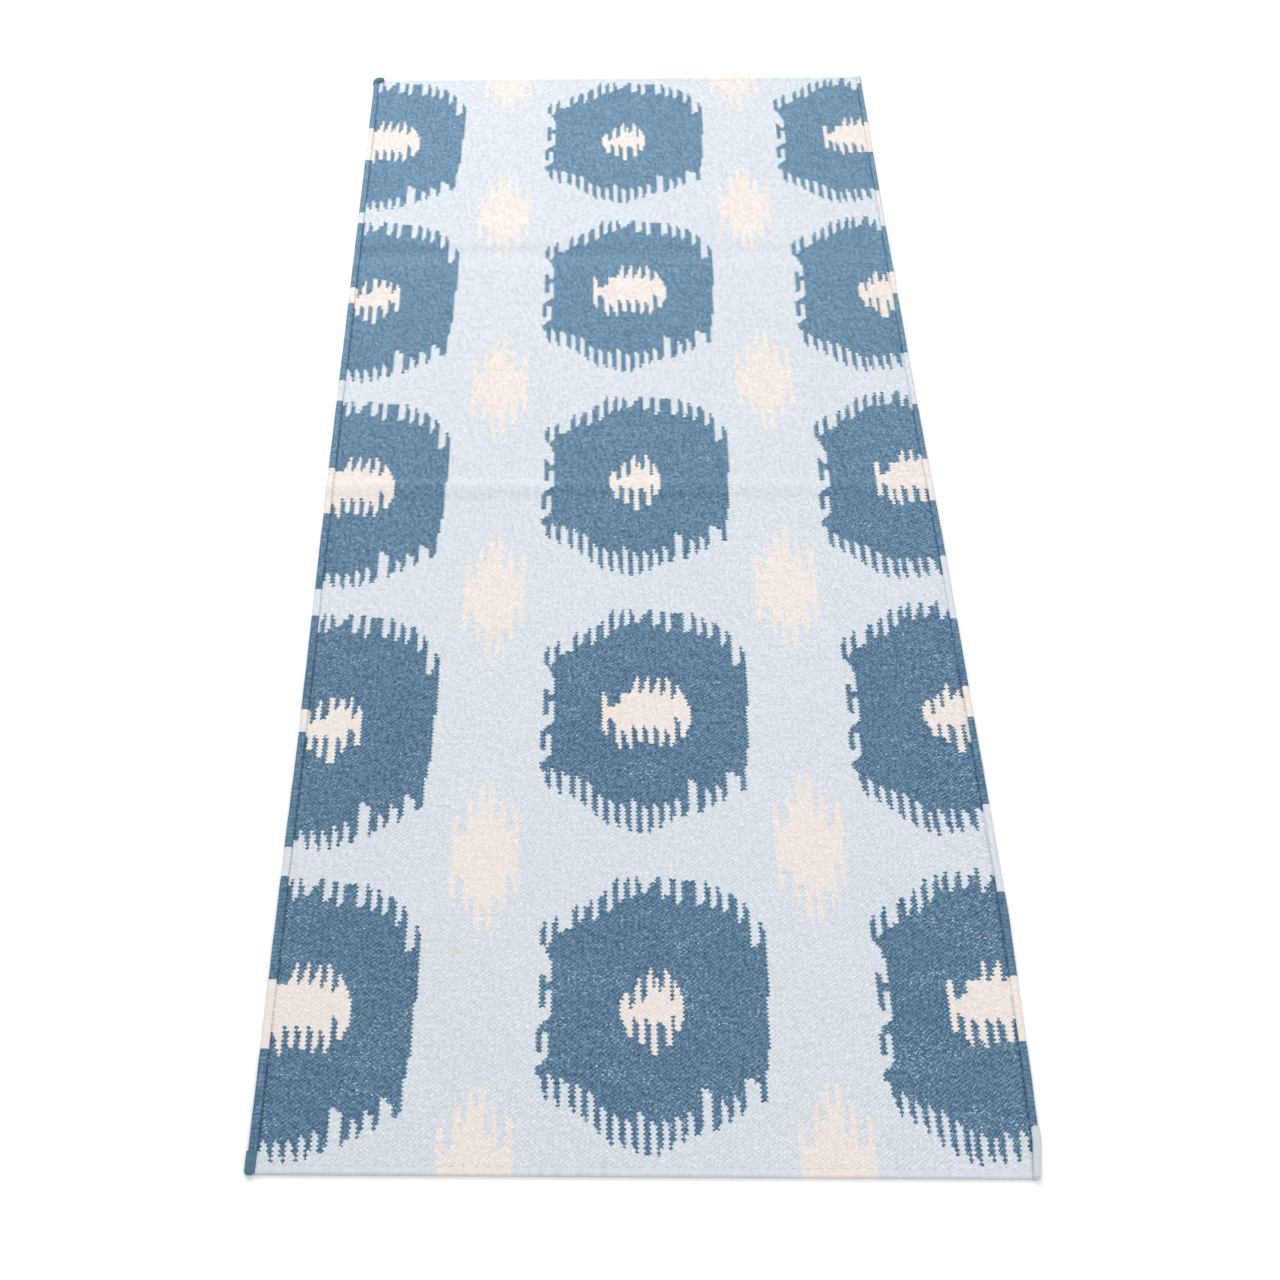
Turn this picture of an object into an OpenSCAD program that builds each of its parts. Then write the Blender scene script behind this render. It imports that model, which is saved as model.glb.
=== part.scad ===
/* [Rug] */
// Width of the rug between the outer sides of its selvedges
rug_w = 760; // [700:1:820]
// Length of the rug between its turned ends
rug_l = 1830; // [1700:1:1950]
// Thickness of the woven cloth
cloth_t = 4; // [3.6:0.1:4.6]

/* [Selvedges] */
// Height of the rolled selvedge along each side
roll_h = 5.5; // [5:0.1:6]
// Radius of the roll's rounded long edges
roll_r = 1.8; // [1:0.1:2.2]
// Diameter of the edge cord inside each roll
cord_d = 2.4; // [2:0.1:3]

/* [Hems] */
// Depth of the strip turned under at each end
hem_l = 18; // [15:0.5:24]
// Thickness of the turned strip
hem_t = 1.8; // [1.4:0.1:2]
// Distance of the hem stitching from the end
stitch_y = 9; // [7:0.5:12]
// Thickness of the hem thread
thread_d = 0.7; // [0.5:0.1:0.8]

/* [Corner wraps] */
// Height of each yarn wrap around a corner
wrap_h = 6.2; // [6:0.1:7]
// How far a wrap stands proud of the side and the end
wrap_out = 1.6; // [1:0.1:2.5]
// Thickness of the yarn in a wrap
wrap_t = 1; // [0.8:0.1:1.2]

/* [Warps] */
// Width of one warp yarn
warp_yarn_w = 1; // [0.7:0.1:1.2]
// Height of one warp yarn
warp_yarn_h = 0.8; // [0.5:0.1:0.9]

/* [Hidden] */
COLS = ["left", "centre", "right"];
ROWS = [1, 2, 3, 4, 5];
LOZENGE_ROWS = [0, 1, 2, 3, 4, 5];
ENDS = ["near", "far"];
SIDES = ["left", "right"];

function named(stem, rows, cols) = [for (c = cols, r = rows) str(stem, "_", c, "_", r)];

$fn = 32;

// The weave's own units: the pattern is drawn in warps across and in steps
// of one weft pass along, so it follows the rug's width and length.
warps_across = 249;
steps_along = 732;
warp = rug_w / warps_across;
step = rug_l / steps_along;
roll_warps = 3;
roll_w = roll_warps * warp;

// Colours of the yarns.
navy = [0.36, 0.49, 0.62];
sky = [0.80, 0.85, 0.91];
cream = [0.93, 0.89, 0.85];
cotton = [0.90, 0.88, 0.82];

// Left side of each medallion in warps, its middle in steps, and how much the
// beating has stretched it, in columns from the left and from the near end.
// The columns drift a little, as they do on a hand loom.
medallion_x = [
  [-26.75, -25.75, -26.75, -27.75, -28.75],
  [91, 91, 90, 89, 89],
  [204.25, 205.25, 203.75, 202.75, 201.75]
];
medallion_y = [
  [70, 219, 370, 520, 664],
  [73, 225, 376, 524, 666],
  [73, 227, 376, 525, 667]
];
medallion_stretch = [
  [1.02, 1.06, 1.03, 1.06, 1.01],
  [1, 1.01, 0.99, 1, 0.94],
  [1.05, 1.05, 1.03, 1.02, 0.97]
];
// How far a core has drifted across inside its medallion, in warps.
core_drift = [[0, 0, 0, 1.75, 0], [0, 0, 0, 0, 0], [0, 0, 0, 1.25, 0]];
// Left side and middle of each lozenge.
lozenge_x = [
  [60, 60, 60, 59, 58, 58],
  [175, 175, 175, 174, 172, 172]
];
lozenge_y = [
  [-1, 148, 299, 448, 594, 733],
  [1, 153, 304, 453, 600, 735]
];

// A comb is a list of teeth, from left to right. A tooth is its left side, its
// right side, its tip, which half of the tip stands out as a spur (-1 left,
// 0 none, 1 right), and the root of the gap that follows it.
tooth_spur = 3;
gap_spur = 2;

function tip_points(t, dir) =
  let (mid = (t[0] + t[1]) / 2, low = t[2] - dir * tooth_spur)
  t[3] > 0 ? [[t[0], low], [mid, low], [mid, t[2]], [t[1], t[2]]] :
  t[3] < 0 ? [[t[0], t[2]], [mid, t[2]], [mid, low], [t[1], low]] :
  [[t[0], t[2]], [t[1], t[2]]];

// The gap after a tooth: its left half bites a little deeper.
function gap_points(t, next_x, dir) =
  let (mid = (t[1] + next_x) / 2, deep = t[4] - dir * gap_spur)
  [[t[1], deep], [mid, deep], [mid, t[4]], [next_x, t[4]]];

function comb(teeth, dir) = [
  for (i = [0 : len(teeth) - 1])
    each concat(
      tip_points(teeth[i], dir),
      i < len(teeth) - 1 ? gap_points(teeth[i], teeth[i + 1][0], dir) : []
    )
];

function reversed(points) = [for (i = [len(points) - 1 : -1 : 0]) points[i]];

// The columns at the sides are cut by the selvedge, so their combs are only
// drawn in full on the side that shows.
medallion_bottom = [
  [
    [2, 30.75, -60, 0, -57], [32.5, 34.5, -64, 1, -57], [36.5, 38.5, -65, 1, -57],
    [41, 43, -64, 1, -55], [45, 47, -63, -1, -53], [49, 52, -61, -1, -43],
    [55.5, 58.5, -58, -1, -48], [61, 63, -54, -1, -44], [65.5, 67.5, -51, -1, -39],
    [72, 74, -45, 0, 0]
  ],
  [
    [2, 4, -41, 1, -32], [6, 8, -44, 1, -34], [11, 13, -47, 1, -36], [15, 17, -51, 1, -39],
    [19, 21, -56, 1, -46], [23, 25, -61, 1, -49], [27, 29, -62, 1, -51], [31, 33, -64, 1, -48],
    [35, 37, -65, 0, -52], [39, 41, -65, -1, -51], [43, 45, -62, -1, -50], [47, 49, -59, -1, -48],
    [51, 54, -56, -1, -38], [57, 60, -54, -1, -43], [62, 64, -51, -1, -41], [66, 68, -48, -1, -34],
    [73, 75, -42, 0, 0]
  ],
  [
    [2.5, 4.5, -45, 1, -37], [6.5, 8.5, -48, 1, -41], [10.5, 12.5, -52, 1, -43],
    [14.5, 16.5, -57, 1, -45], [18.5, 20.5, -61, 1, -49], [22.5, 24.5, -64, 1, -53],
    [26, 28, -65, 1, -54], [29.5, 31.5, -64, 1, -54], [33, 35, -64, 1, -54],
    [36.5, 38.5, -63, 1, -53], [40.5, 42.5, -62, 1, -53], [45.5, 73, -60, 0, 0]
  ]
];
medallion_right = [[75, -37], [75, -29], [76, -27], [76, -20], [77, -18], [77, 5], [78, 7]];
full_top = [
  [1, 3, 41, 1, 31], [5, 7, 44, 1, 38], [12, 14, 50, 1, 43], [16, 19, 52, 1, 44],
  [21, 24, 57, 1, 48], [26, 28, 64, 1, 53], [30, 32, 64, 1, 55], [34, 36, 64, -1, 58],
  [39, 43, 64, 1, 55], [46, 48, 63, 0, 52], [50, 55, 62, 0, 52], [58, 60, 62, -1, 50],
  [62, 64, 59, -1, 48], [66, 69, 56, -1, 43], [71, 73, 51, -1, 31], [76, 78, 41, -1, 0]
];
cut_top = [
  [1, 3, 43, 1, 34], [5, 7, 47, 1, 39], [11, 13.5, 51, 1, 45], [15.5, 17.5, 55, 1, 46],
  [19.5, 21.5, 60, 1, 51], [23.5, 25.5, 62, 1, 55], [27, 29, 64, 1, 56], [30.5, 32.5, 64, 1, 57],
  [35, 38, 65, 1, 56], [39.5, 41.5, 62, 1, 54], [45.5, 76, 60, 0, 0]
];
medallion_top = [full_top, full_top, cut_top];
// Down the left side: two hooked bites, each with its own hanging tooth.
medallion_left = [
  [1, 31], [3, 28], [4, 24], [5, 20], [5, 12], [3, 12], [3, 14], [2, 16], [1, 16],
  [1, 1], [2, -1], [3, 1], [3, 8], [5, 8], [5, -4], [3, -6], [1, -8], [0, -11],
  [0, -20], [2, -20], [2, -11], [4, -11], [4, -22], [2, -25], [0, -27], [0, -30], [2, -32]
];
function medallion_outline(c) = concat(
  comb(medallion_bottom[c], -1), medallion_right,
  reversed(comb(medallion_top[c], 1)), medallion_left
);

// The cores are drawn for each column too. Those at the sides run on past the
// line where the selvedge cuts them.
small_core_left_low = [
  [[20, -4], [29, -4.5], [29.5, -8]],
  [[28, -4], [29, -7], [29.5, -8]],
  [[28, -4], [29, -7], [29.5, -8]]
];
small_core_bottom = [
  [
    [30, 32, -13, 0, -7], [33.5, 36, -17.5, 0, -7], [38, 40.5, -20.5, 0, -8],
    [43, 45, -15, -1, -4], [47.5, 49.5, -11, 0, 0]
  ],
  [
    [30, 32, -13, 0, -6], [34, 36, -16, 0, -7], [38, 40, -21, 0, -8],
    [43, 45, -17, 0, -5], [46, 48, -10, 0, 0]
  ],
  [
    [30, 32, -13, 0, -8], [33, 35, -16.5, 1, -8], [36.25, 38.75, -22, 0, -8.5],
    [40, 48, -16, 0, 0]
  ]
];
small_core_right = [
  [[50, -8], [50, 7]],
  [[48, -7], [49, -5], [49, 5], [48, 7]],
  []
];
small_core_top = [
  [
    [20, 30, 8, 0, 3], [32, 34, 13.5, 1, 5.5], [37, 39, 15.5, 0, 10.5], [41, 43, 14.5, 0, 10],
    [44.75, 46.25, 15.5, -1, 6], [48, 50, 11, -1, 0]
  ],
  [
    [29, 31, 7, 0, 2], [33, 35, 14, 1, 5], [37, 39, 19, 1, 12], [40, 41, 14, 0, 10],
    [43, 45, 19, -1, 6], [46, 48, 13, -1, 0]
  ],
  [
    [28.75, 30.5, 6.5, 0, -0.5], [31.5, 33.5, 10.5, 1, 5], [35, 37, 16, 1, 9.5],
    [38.75, 40, 13, 0, 10], [41.25, 48, 15, 0, 0]
  ]
];
small_core_left_high = [[], [[29, 4], [28, 3]], [[28.5, 4], [28, 3]]];
function small_core_outline(c) = concat(
  small_core_left_low[c], comb(small_core_bottom[c], -1), small_core_right[c],
  reversed(comb(small_core_top[c], 1)), small_core_left_high[c]
);

full_wide_bottom = [
  [23, 25, -12, 1, -4], [28, 30, -19, 1, -11], [32, 34, -19, 1, -8], [36, 38, -15, 0, -8],
  [40, 42, -16, 0, -8], [44, 46, -18, -1, -10], [48, 50, -18, -1, -3], [52, 54, -12, 0, 0]
];
full_wide_top = [
  [23, 25, 14, -1, 7], [30, 33, 13, 0, 15], [35, 37, 23, 1, 15], [39, 41, 23, 1, 15],
  [43, 45, 22, 1, 14], [47, 49, 23, -1, 12], [51, 53, 18, -1, 0]
];
full_wide_right = [[54, -9], [55, -7], [56, -3], [56, 4], [55, 8], [53, 14]];
cut_wide_bottom = [
  [24, 26, -10, 0, -3.5], [27.75, 29.75, -16, 1, -6], [31.5, 33.5, -16.5, 1, -6],
  [35.25, 37.25, -14.5, 0, -6], [38.75, 40.75, -14, 0, -6], [42, 48, -14, 0, 0]
];
cut_wide_top = [
  [24, 25.75, 13, 0, 6.5], [30, 33.25, 12.75, 0, 14.75], [34.25, 36, 21.5, 1, 15],
  [37.75, 39.5, 22, 1, 15], [41.25, 43, 21.5, 1, 15.25], [45, 48, 20, 0, 0]
];
wide_core_bottom = [full_wide_bottom, full_wide_bottom, cut_wide_bottom];
wide_core_right = [full_wide_right, full_wide_right, []];
wide_core_top = [full_wide_top, full_wide_top, cut_wide_top];
function wide_core_outline(c) = concat(
  comb(wide_core_bottom[c], -1), wide_core_right[c], reversed(comb(wide_core_top[c], 1))
);

lozenge_bottom = [
  [0, 2, -22, 0, -12], [5, 7, -29, 1, -21], [9, 11, -39, 1, -27], [13, 15, -39, -1, -23],
  [18, 20, -29, -1, -11], [22, 24, -20, 0, 0]
];
lozenge_top = [
  [0, 2, 20, 0, 12], [5, 7, 30, 1, 23], [9, 11, 38, 1, 30], [13, 15, 39, -1, 19],
  [17, 19, 30, -1, 13], [22, 24, 25, 0, 0]
];
lozenge_outline = concat(comb(lozenge_bottom, -1), reversed(comb(lozenge_top, 1)));

// How far each colour reaches up and down the selvedge, from a motif's middle.
dark_on_roll = [[-67.5, 66.5], [0, 0], [-52, 56.5]];
wide_core_on_roll = [[-16.5, 15.5], [0, 0], [-14.5, 15.5]];
small_core_on_roll = [[-4, 9], [0, 0], [-3, 15]];

// How far each corner wrap reaches along its selvedge: near end, far end.
wrap_along = [[24, 15], [0, 0], [54, 13]];
// The far left wrap ends in a tail, laid over the cloth along the end.
tail_across = 18;
tail_w = 6;

left = 0;
centre = 1;
right = 2;
sides = [left, right];
near = 0;
far = 1;
ends = [near, far];
field_left = roll_w;
field_right = rug_w - roll_w;

function is_wide(c, r) = (c + r) % 2 == 0;

// A motif's points, moved from weave units to its place on the rug.
function placed(points, x, y, stretch) =
  [for (p = points) [(x + p[0]) * warp, (y + p[1] * stretch) * step]];

function medallion_points(c, r) =
  placed(medallion_outline(c), medallion_x[c][r], medallion_y[c][r], medallion_stretch[c][r]);

function core_points(c, r) =
  placed(is_wide(c, r) ? wide_core_outline(c) : small_core_outline(c),
         medallion_x[c][r] + core_drift[c][r], medallion_y[c][r], medallion_stretch[c][r]);

function lozenge_points(c, r) = placed(lozenge_outline, lozenge_x[c][r], lozenge_y[c][r], 1);

// The part of an outline that lies beyond a line: axis 0 or 1, the side to keep
// (1 above the level, -1 below it) and the level. It runs from the point where
// the outline crosses the line inwards to the point where it crosses back.
function kept(p, axis, side, level) = side * (p[axis] - level) > 0;
function crossing(a, b, axis, level) = a + (b - a) * (level - a[axis]) / (b[axis] - a[axis]);
function cut_outline(points, axis, side, level) =
  let (
    n = len(points),
    first = [for (i = [0 : n - 1])
      if (kept(points[i], axis, side, level) && !kept(points[(i + n - 1) % n], axis, side, level)) i][0],
    run = [for (i = [0 : n - 1])
      if (kept(points[(first + i) % n], axis, side, level)) points[(first + i) % n]],
    before = points[(first + n - 1) % n],
    after = points[(first + len(run)) % n]
  )
  concat(
    [crossing(before, run[0], axis, level)],
    run,
    [crossing(run[len(run) - 1], after, axis, level)]
  );

function cut_at_side(points, c) =
  c == left ? cut_outline(points, 0, 1, field_left) : cut_outline(points, 0, -1, field_right);

function cut_at_end(points, r) =
  r == 0 ? cut_outline(points, 1, 1, 0) : cut_outline(points, 1, -1, rug_l);

function joined(lists) = [for (l = lists) each l];

// Point numbers for a polygon made of several closed outlines, one after another.
function paths_of(lists, i = 0, start = 0) =
  i == len(lists) ? [] :
  concat([[for (k = [0 : len(lists[i]) - 1]) start + k]],
         paths_of(lists, i + 1, start + len(lists[i])));

// Around the field of the ground, passing inside every motif that is cut.
ground_rim = concat(
  [[field_left, 0]],
  reversed(cut_at_end(lozenge_points(0, 0), 0)),
  reversed(cut_at_end(lozenge_points(1, 0), 0)),
  [[field_right, 0]],
  joined([for (r = [0 : 4]) reversed(cut_at_side(medallion_points(right, r), right))]),
  [[field_right, rug_l]],
  reversed(cut_at_end(lozenge_points(1, 5), 5)),
  reversed(cut_at_end(lozenge_points(0, 5), 5)),
  [[field_left, rug_l]],
  joined([for (r = [4 : -1 : 0]) reversed(cut_at_side(medallion_points(left, r), left))])
);
ground_outlines = concat(
  [ground_rim],
  [for (r = [0 : 4]) medallion_points(centre, r)],
  [for (c = [0, 1], r = [1 : 4]) lozenge_points(c, r)]
);

// The wraps at the two ends of a side's roll: where each one begins and ends.
function near_wrap(c) = [0, wrap_along[c][near]];
function far_wrap(c) = [rug_l - wrap_along[c][far], rug_l];

// Stretches of the selvedge in each colour, in millimetres from the near end.
// A medallion's stretch that gets as far as a corner wrap runs on inside it.
function on_roll(c, r, span) = [for (s = span) (medallion_y[c][r] + s) * step];
function dark_span(c, r) =
  let (s = on_roll(c, r, dark_on_roll[c]))
  [s[0] < near_wrap(c)[1] ? 0 : s[0], s[1] > far_wrap(c)[0] ? rug_l : s[1]];
function core_span(c, r) = on_roll(c, r, is_wide(c, r) ? wide_core_on_roll[c] : small_core_on_roll[c]);
function dark_spans(c, r) =
  [[dark_span(c, r)[0], core_span(c, r)[0]], [core_span(c, r)[1], dark_span(c, r)[1]]];
function ground_spans(c) = concat(
  [[0, dark_span(c, 0)[0]]],
  [for (r = [0 : 3]) [dark_span(c, r)[1], dark_span(c, r + 1)[0]]],
  [[dark_span(c, 4)[1], rug_l]]
);

function overlap(a, b) = [max(a[0], b[0]), min(a[1], b[1])];
function is_stretch(s) = s[1] > s[0];

// Outline of a bar with rounded edges, standing on the ground plane.
edge_steps = 4;
function bar_outline(w, h, r) = [
  for (corner = [[w - r, h - r, 0], [r, h - r, 90], [r, r, 180], [w - r, r, 270]])
    for (i = [0 : edge_steps])
      let (turn = corner[2] + 90 * i / edge_steps)
        [corner[0] + r * cos(turn), corner[1] + r * sin(turn)]
];

// Bar along the rug from one place to another, inset a little all round.
module bar(x, w, h, span, inset = 0) {
  translate([x + inset, span[1], inset])
    rotate([90, 0, 0])
      linear_extrude(span[1] - span[0])
        polygon(bar_outline(w - 2 * inset, h - 2 * inset, roll_r - inset / 2));
}

function roll_x(c) = c == left ? 0 : field_right;

// Stretches of rolled selvedge: full size, or drawn in under a corner wrap.
module roll(c, spans) {
  open = [near_wrap(c)[1], far_wrap(c)[0]];
  for (s = spans) {
    if (is_stretch(overlap(s, open)))
      bar(roll_x(c), roll_w, roll_h, overlap(s, open));
    for (wrapped = [near_wrap(c), far_wrap(c)])
      if (is_stretch(overlap(s, wrapped)))
        bar(roll_x(c), roll_w, roll_h, overlap(s, wrapped), wrap_t);
  }
}

// Each cord stops inside its roll, but the right one's cut near end shows.
cord_end = 5;
module edge_cord_bar(c) {
  near_end = c == right ? -wrap_out : cord_end;
  translate([roll_x(c) + roll_w / 2, rug_l - cord_end, roll_h / 2])
    rotate([90, 0, 0])
      cylinder(d = cord_d, h = rug_l - cord_end - near_end);
}

// The warp yarns run through the middle of the cloth, from hem to hem. One in
// every twelve is drawn, each at its true size.
warp_every = 12;
warp_end = 3;
warp_z = hem_t + 0.6;
module warp_bars() {
  translate([0, rug_l - warp_end, 0])
    rotate([90, 0, 0])
      linear_extrude(rug_l - 2 * warp_end)
        for (i = [roll_warps + 1 : warp_every : warps_across - roll_warps - 1])
          translate([(i + 0.5) * warp - warp_yarn_w / 2, warp_z])
            square([warp_yarn_w, warp_yarn_h]);
}

module at_end(e) {
  if (e == near) children();
  else translate([0, rug_l, 0]) mirror([0, 1, 0]) children();
}

module hem_bar(e) {
  at_end(e)
    translate([field_left, 0, 0])
      cube([field_right - field_left, hem_l, hem_t]);
}

// Running stitch: up, over two warps, down, and under two to the next.
stitch_every = 4;
stitch_over = 2;
stitch_first = 8;
stitch_last = 240;
stitch_outline = let (t = thread_d / 2, low = thread_d, high = cloth_t - thread_d)
  concat(
    [[stitch_first * warp - t, 0]],
    joined([for (i = [stitch_first : stitch_every : stitch_last])
      let (a = i * warp, b = (i + stitch_over) * warp)
      [[a - t, low], [a - t, cloth_t], [b + t, cloth_t], [b + t, low]]]),
    [[(stitch_last + stitch_over) * warp + t, 0]],
    joined([for (i = [stitch_last : -stitch_every : stitch_first])
      let (a = i * warp, b = (i + stitch_over) * warp)
      [[b - t, 0], [b - t, high], [a + t, high], [a + t, 0]]])
  );

module stitch_row(e) {
  at_end(e)
    translate([0, stitch_y + thread_d / 2, 0])
      rotate([90, 0, 0])
        linear_extrude(thread_d)
          polygon(stitch_outline);
}

function distance_to_end(outline, e) =
  min([for (p = outline) e == near ? p[1] : rug_l - p[1]]);

// Woven cloth of one colour area, as closed outlines with any openings after
// the first: pierced by the warps, and by the hem stitches where it laps over
// the turned strips at the ends.
module woven(outlines) {
  difference() {
    linear_extrude(cloth_t)
      polygon(joined(outlines), paths_of(outlines));
    warp_bars();
    for (e = ends) {
      if (distance_to_end(outlines[0], e) < hem_l) hem_bar(e);
      if (distance_to_end(outlines[0], e) < stitch_y + thread_d) stitch_row(e);
    }
  }
}

// Rolled stretches of one colour area, with the cord's bore through them.
module rolled(c, spans) {
  difference() {
    roll(c, spans);
    edge_cord_bar(c);
  }
}

module ground_weave() {
  color(sky) {
    woven(ground_outlines);
    for (c = sides) rolled(c, ground_spans(c));
  }
}

module warp_yarns() {
  color(cotton) warp_bars();
}

module medallion(c, r) {
  color(navy)
    if (c == centre) woven([medallion_points(c, r), core_points(c, r)]);
    else {
      woven([concat(cut_at_side(medallion_points(c, r), c), reversed(cut_at_side(core_points(c, r), c)))]);
      rolled(c, dark_spans(c, r));
    }
}

module core(c, r) {
  color(cream)
    if (c == centre) woven([core_points(c, r)]);
    else {
      woven([cut_at_side(core_points(c, r), c)]);
      rolled(c, [core_span(c, r)]);
    }
}

module lozenge(c, r) {
  whole = r > 0 && r < 5;
  color(cream) woven([whole ? lozenge_points(c, r) : cut_at_end(lozenge_points(c, r), r)]);
}

module edge_cord(c) {
  color(cotton) edge_cord_bar(c);
}

module hem_strip(e) {
  color(sky)
    difference() {
      hem_bar(e);
      stitch_row(e);
    }
}

module hem_thread(e) {
  color(sky) stitch_row(e);
}

// Yarn wound round the end of a roll, over its cut end as well.
module corner_wrap(e, c) {
  span = e == near ? near_wrap(c) : far_wrap(c);
  covered = e == near ? [-wrap_out, span[1]] : [span[0], rug_l + wrap_out];
  x = c == left ? -wrap_out : field_right;
  color(c == left ? navy : sky) {
    difference() {
      bar(x, roll_w + wrap_out, wrap_h, covered);
      bar(roll_x(c), roll_w, roll_h, span, wrap_t);
      edge_cord_bar(c);
    }
    if (e == far && c == left)
      translate([field_left - wrap_t, rug_l - tail_w, cloth_t])
        cube([tail_across, tail_w, wrap_h - cloth_t]);
  }
}

// Draws what it is given when the whole rug or this one piece is asked for.
module piece(name) {
  translate([-rug_w / 2, -rug_l / 2, 0])
      children();
}

piece("ground_weave") ground_weave();
piece("warp_yarns") warp_yarns();
for (c = [left : right], r = [0 : 4]) {
  piece(str("medallion_", COLS[c], "_", ROWS[r])) medallion(c, r);
  piece(str("core_", COLS[c], "_", ROWS[r])) core(c, r);
}
for (c = [0, 1], r = LOZENGE_ROWS)
  piece(str("lozenge_", SIDES[c], "_", r)) lozenge(c, r);
for (c = sides)
  piece(str("edge_cord_", COLS[c])) edge_cord(c);
for (e = ends) {
  piece(str("hem_strip_", ENDS[e])) hem_strip(e);
  piece(str("hem_thread_", ENDS[e])) hem_thread(e);
  for (c = sides) piece(str("corner_wrap_", ENDS[e], "_", COLS[c])) corner_wrap(e, c);
}
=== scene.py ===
import math
from collections import namedtuple

import bpy
import numpy as np
from mathutils import Matrix, Vector


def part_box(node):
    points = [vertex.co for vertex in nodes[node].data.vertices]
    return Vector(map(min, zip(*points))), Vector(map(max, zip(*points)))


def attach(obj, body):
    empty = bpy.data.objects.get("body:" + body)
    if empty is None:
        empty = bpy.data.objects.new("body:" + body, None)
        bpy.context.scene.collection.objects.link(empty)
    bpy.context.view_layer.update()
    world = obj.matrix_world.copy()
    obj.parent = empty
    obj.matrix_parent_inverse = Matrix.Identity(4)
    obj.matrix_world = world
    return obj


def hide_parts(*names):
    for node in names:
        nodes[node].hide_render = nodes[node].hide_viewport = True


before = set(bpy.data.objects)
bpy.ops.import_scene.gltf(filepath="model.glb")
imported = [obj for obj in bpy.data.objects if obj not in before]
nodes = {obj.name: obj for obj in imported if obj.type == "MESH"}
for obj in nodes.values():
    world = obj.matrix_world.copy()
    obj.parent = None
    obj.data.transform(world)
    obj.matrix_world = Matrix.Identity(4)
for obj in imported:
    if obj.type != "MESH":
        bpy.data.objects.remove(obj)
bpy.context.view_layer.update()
rng = np.random.default_rng(7)

# ---------------------------------------------------------------- camera

EYE = Vector((-0.0411, -1.7693, 1.7823))
PITCH = math.radians(49.267)
YAW = math.radians(-2.002)
ROLL = math.radians(1.142)
LENS = 56.04
SENSOR = 36


def make_camera():
    """The camera stands at the near end and looks down along the rug."""
    turn = Matrix.Rotation(YAW, 3, "Z")
    forward = turn @ Vector((0, math.cos(PITCH), -math.sin(PITCH)))
    right = turn @ Vector((1, 0, 0))
    up = turn @ Vector((0, math.sin(PITCH), math.cos(PITCH)))
    tilted_right = math.cos(ROLL) * right + math.sin(ROLL) * up
    tilted_up = math.cos(ROLL) * up - math.sin(ROLL) * right
    axes = Matrix((tilted_right, tilted_up, -forward)).transposed()
    data = bpy.data.cameras.new("camera")
    data.lens = LENS
    data.sensor_width = SENSOR
    data.clip_end = 30
    camera = bpy.data.objects.new("camera", data)
    camera.matrix_world = Matrix.Translation(EYE) @ axes.to_4x4()
    bpy.context.scene.collection.objects.link(camera)
    bpy.context.scene.camera = camera


make_camera()

# ---------------------------------------------------------------- sizes

MM = 0.001
WARPS_ACROSS = 249
ROLL_WARPS = 3
CELLS_ALONG = 1464
CLOTH_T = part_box("lozenge_left_1")[1].z
ground_low, ground_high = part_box("ground_weave")
RUG_W = ground_high.x - ground_low.x
RUG_L = ground_high.y - ground_low.y
WARP = RUG_W / WARPS_ACROSS
CELL_L = RUG_L / CELLS_ALONG
PASS = 2 * CELL_L
ROLL_W = ROLL_WARPS * WARP
ROLL_H = ground_high.z
SEEN_ROLL_W = {"left": ROLL_W, "right": 0.7 * ROLL_W}
FIELD_WARPS = WARPS_ACROSS - 2 * ROLL_WARPS
HEM_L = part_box("hem_strip_near")[1].y - ground_low.y
HEM_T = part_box("hem_strip_near")[1].z
stitch_low, stitch_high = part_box("hem_thread_near")
STITCH_Y = (stitch_low.y + stitch_high.y) / 2 - ground_low.y
STITCH_X = stitch_low.x - ground_low.x
THREAD = stitch_high.y - stitch_low.y

KINDS = {"ground": 1, "medallion": 0, "core": 2, "lozenge": 2}
colour_nodes = sorted(n for n in nodes if n.split("_")[0] in KINDS)
tones = np.array([KINDS[n.split("_")[0]] for n in colour_nodes])

# ---------------------------------------------------------------- the pattern

def top_triangles(node):
    """The triangles of a CAD node that face straight up, as an array of corners."""
    mesh = nodes[node].data
    mesh.calc_loop_triangles()
    points = np.empty(len(mesh.vertices) * 3)
    mesh.vertices.foreach_get("co", points)
    points = points.reshape(-1, 3)
    index = np.empty(len(mesh.loop_triangles) * 3, int)
    mesh.loop_triangles.foreach_get("vertices", index)
    corners = points[index.reshape(-1, 3)]
    facing = np.cross(corners[:, 1] - corners[:, 0], corners[:, 2] - corners[:, 0])
    size = np.linalg.norm(facing, axis=1)
    keep = (facing[:, 2] > 0.99 * size) & (size > 0) & (corners[:, :, 2].min(axis=1) > 0.8 * CLOTH_T)
    return corners[keep]


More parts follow.
